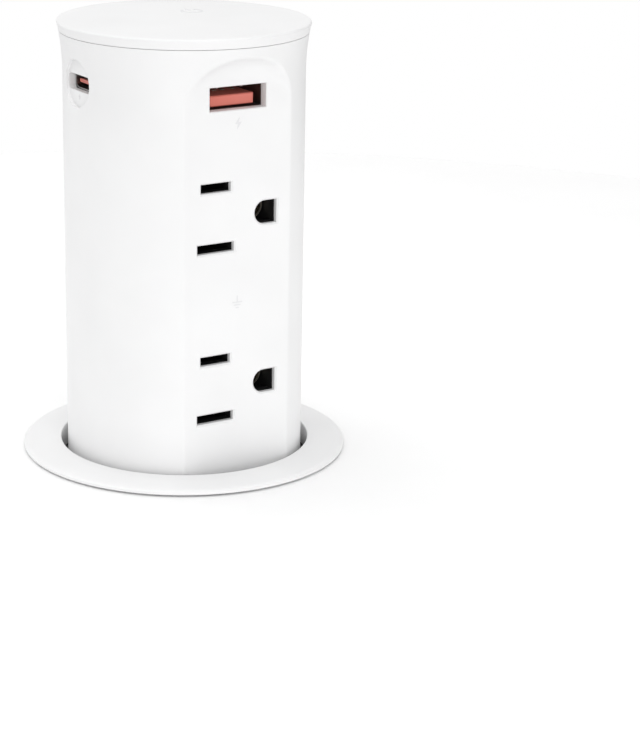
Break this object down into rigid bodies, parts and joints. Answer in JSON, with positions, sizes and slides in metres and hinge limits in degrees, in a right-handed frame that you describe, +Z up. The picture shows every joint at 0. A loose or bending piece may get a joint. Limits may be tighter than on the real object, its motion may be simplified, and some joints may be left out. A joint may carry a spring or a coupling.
{
  "type": "pop-up desk power tower",
  "caption": "Round pop-up power tower for a desk hole, with a flat outlet face, charging ports, a flush lid, a sprung lift and a threaded clamp under the desk.",
  "frame": {"origin": "on the tower's axis, in the plane of the desk top, where the flange's gasket rests", "axes": "+Z up along the tower's axis, -Y out of the flat outlet face, -X out of the small side port"},
  "size_m": [0.072, 0.072, 0.2088],
  "materials": {
    "body_white": "satin white moulded plastic",
    "lid_white": "satin white moulded plastic",
    "flange_white": "satin white moulded plastic",
    "inner_plastic": "grey moulded plastic",
    "clamp_plastic": "white moulded plastic",
    "track_plastic": "natural acetal",
    "socket_black": "black flame-retardant plastic",
    "gasket_rubber": "black foam rubber",
    "screw_steel": "zinc-plated",
    "rod_steel": "ground",
    "spring_steel": "drawn wire",
    "port_steel": "nickel-plated",
    "port_coral": "coral moulded plastic",
    "contact_brass": "stamped",
    "circuit_board": "green solder mask",
    "coil_tape": "yellow winding tape",
    "capacitor_can": "sleeved can",
    "gland_plastic": "black nylon"
  },
  "bodies": {
    "base": {"flange_barrel": "flange_white", "desk_gasket": "gasket_rubber", "end_cap": "inner_plastic", "end_cap_screws": "screw_steel", "spring_rod": "rod_steel", "lift_spring": "spring_steel", "latch_bracket": "inner_plastic", "latch_pivot": "rod_steel"},
    "tower": {"lid": "lid_white", "tower_shell": "body_white", "tower_foot": "inner_plastic", "foot_screws": "screw_steel", "stop_ring": "gasket_rubber", "socket_block_lower": "socket_black", "socket_block_upper": "socket_black", "live_contacts": "contact_brass", "neutral_contacts": "contact_brass", "ground_contacts": "contact_brass", "socket_cover": "socket_black", "socket_cover_screws": "screw_steel", "charger_board": "circuit_board", "charger_transformer": "coil_tape", "charger_capacitors": "capacitor_can", "port_board": "circuit_board", "usb_a_shell": "port_steel", "usb_a_tongue": "port_coral", "usb_c_shell": "port_steel", "usb_c_tongue": "port_coral", "spring_tube": "inner_plastic", "latch_track": "track_plastic", "gland_body": "gland_plastic", "gland_locknut": "gland_plastic", "gland_bush": "gasket_rubber", "gland_nut": "gland_plastic"},
    "latch": {"latch_arm": "spring_steel"},
    "washer": {"clamp_washer": "clamp_plastic"},
    "nut": {"lock_nut": "clamp_plastic"}
  },
  "joints": [
    {"name": "tower_slide", "type": "slide", "parent": "base", "child": "tower", "axis": [0, 0, 1], "range_m": [-0.0925, 0], "stiffness_N_per_m": 60, "springref_m": 0.11, "deforming": ["lift_spring"]},
    {"name": "latch_swing", "type": "hinge", "parent": "base", "child": "latch", "pos_m": [-0.009, 0.012, -0.107], "axis": [0, 1, 0], "range_deg": [0, 19.8], "stiffness_Nm_per_rad": 0.0008, "springref_deg": -11.46},
    {"name": "washer_slide", "type": "slide", "parent": "base", "child": "washer", "axis": [0, 0, 1], "range_m": [-0.0395, 0.0215]},
    {"name": "nut_turn", "type": "hinge", "parent": "washer", "child": "nut", "pos_m": [0, 0, -0.0315], "axis": [0, 0, 1], "range_deg": [-4680, 2520]}
  ],
  "couplings": [
    {"joint": "washer_slide", "follows": "nut_turn", "m_per_rad": 0.00047746}
  ]
}
